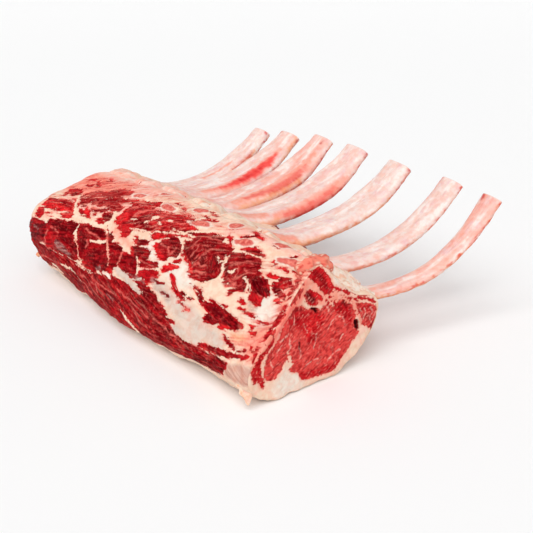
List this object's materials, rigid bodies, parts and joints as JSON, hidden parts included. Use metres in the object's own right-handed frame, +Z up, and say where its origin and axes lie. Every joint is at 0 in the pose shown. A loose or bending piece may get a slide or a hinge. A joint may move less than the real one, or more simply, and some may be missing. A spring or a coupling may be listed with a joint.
{
  "type": "beef rib roast",
  "caption": "Raw bone-in beef rib roast lying on its fat cap, with long scraped rib bones that curve up from one side and a cut eye of lean at one end.",
  "frame": {"origin": "on the surface it rests on, under the middle of its box", "axes": "+X along the roast towards the loin end with the cut eye, +Y towards the tips of the rib bones, +Z up"},
  "size_m": [0.4234, 0.3396, 0.148],
  "materials": {
    "lean": "moist raw beef, deep red with cream fat streaks",
    "fat": "soft cream fat, satin",
    "bone": "scraped rib bone, cream-pink, damp"
  },
  "bodies": {
    "root": {"meat": "lean", "fat_cap": "fat", "rib_bone_1": "bone", "rib_bone_2": "bone", "rib_bone_3": "bone", "rib_bone_4": "bone", "rib_bone_5": "bone", "rib_bone_6": "bone", "rib_bone_7": "bone"}
  },
  "joints": []
}
